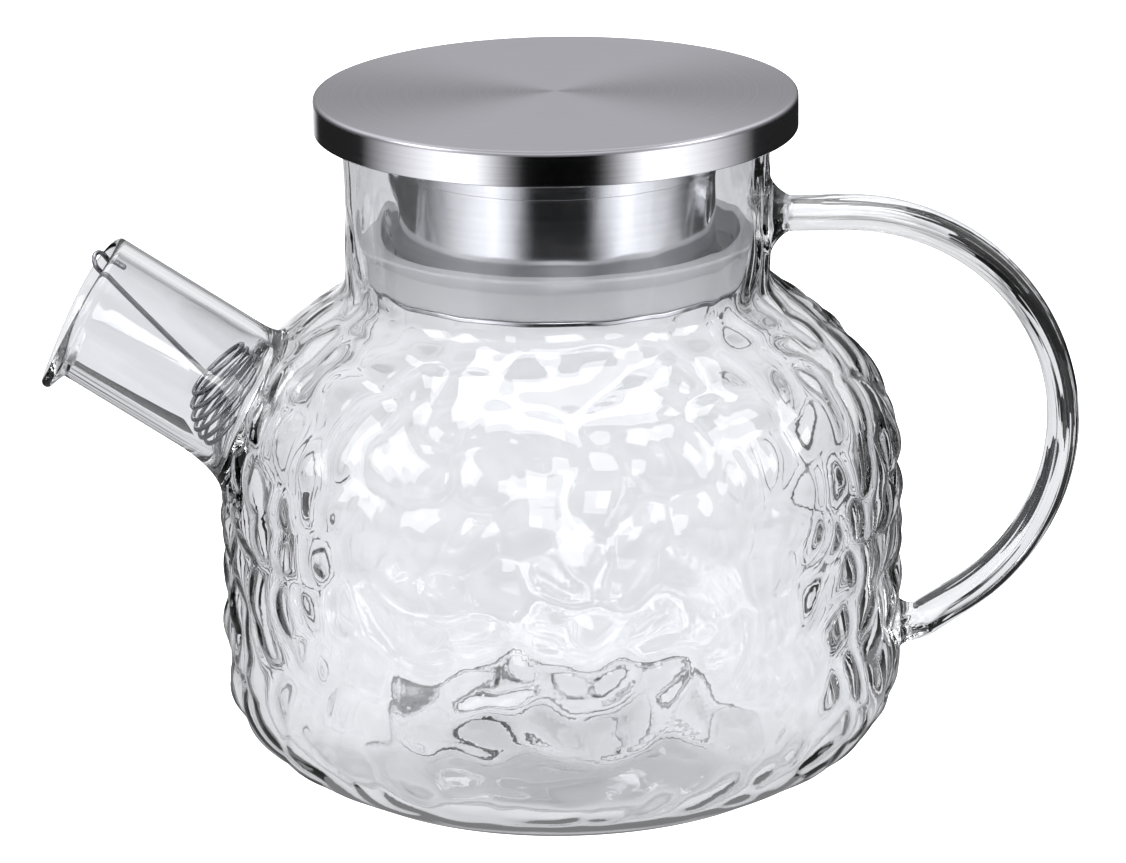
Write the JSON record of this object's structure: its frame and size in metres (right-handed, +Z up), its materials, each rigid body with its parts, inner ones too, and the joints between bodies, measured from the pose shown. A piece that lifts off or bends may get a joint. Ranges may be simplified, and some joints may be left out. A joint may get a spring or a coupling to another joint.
{
  "type": "glass teapot",
  "caption": "Hammered clear glass teapot with a straight spout, a loop handle, a flat steel lid on a drilled collar with a silicone seal, and a coiled wire strainer in the spout.",
  "frame": {"origin": "on the table, below the middle of the pot's outer box, on the axis of the glass body", "axes": "+Z up along the body's axis, +X towards the handle, -X towards the spout"},
  "size_m": [0.2078, 0.1368, 0.1389],
  "materials": {
    "glass": "clear, fire polished",
    "lid_steel": "spun on the top, polished on the sides",
    "silicone": "milky, translucent",
    "wire_steel": "drawn, bright"
  },
  "bodies": {
    "pot": {"pot_body": "glass", "spout": "glass", "handle": "glass", "handle_upper_root": "glass", "handle_lower_root": "glass"},
    "seal": {"seal_ring": "silicone"},
    "lid": {"lid_cap": "lid_steel", "lid_base_plate": "lid_steel", "strainer_collar": "lid_steel"},
    "strainer": {"spout_strainer": "wire_steel"}
  },
  "joints": [
    {"name": "lid_lift", "type": "slide", "parent": "pot", "child": "seal", "axis": [0, 0, 1], "range_m": [0, 0.06]},
    {"name": "lid_turn", "type": "hinge", "parent": "seal", "child": "lid", "pos_m": [0, 0, 0.1], "axis": [0, 0, 1], "continuous": true},
    {"name": "strainer_pull", "type": "slide", "parent": "pot", "child": "strainer", "axis": [-0.832, 0, 0.5548], "range_m": [0, 0.055]}
  ]
}
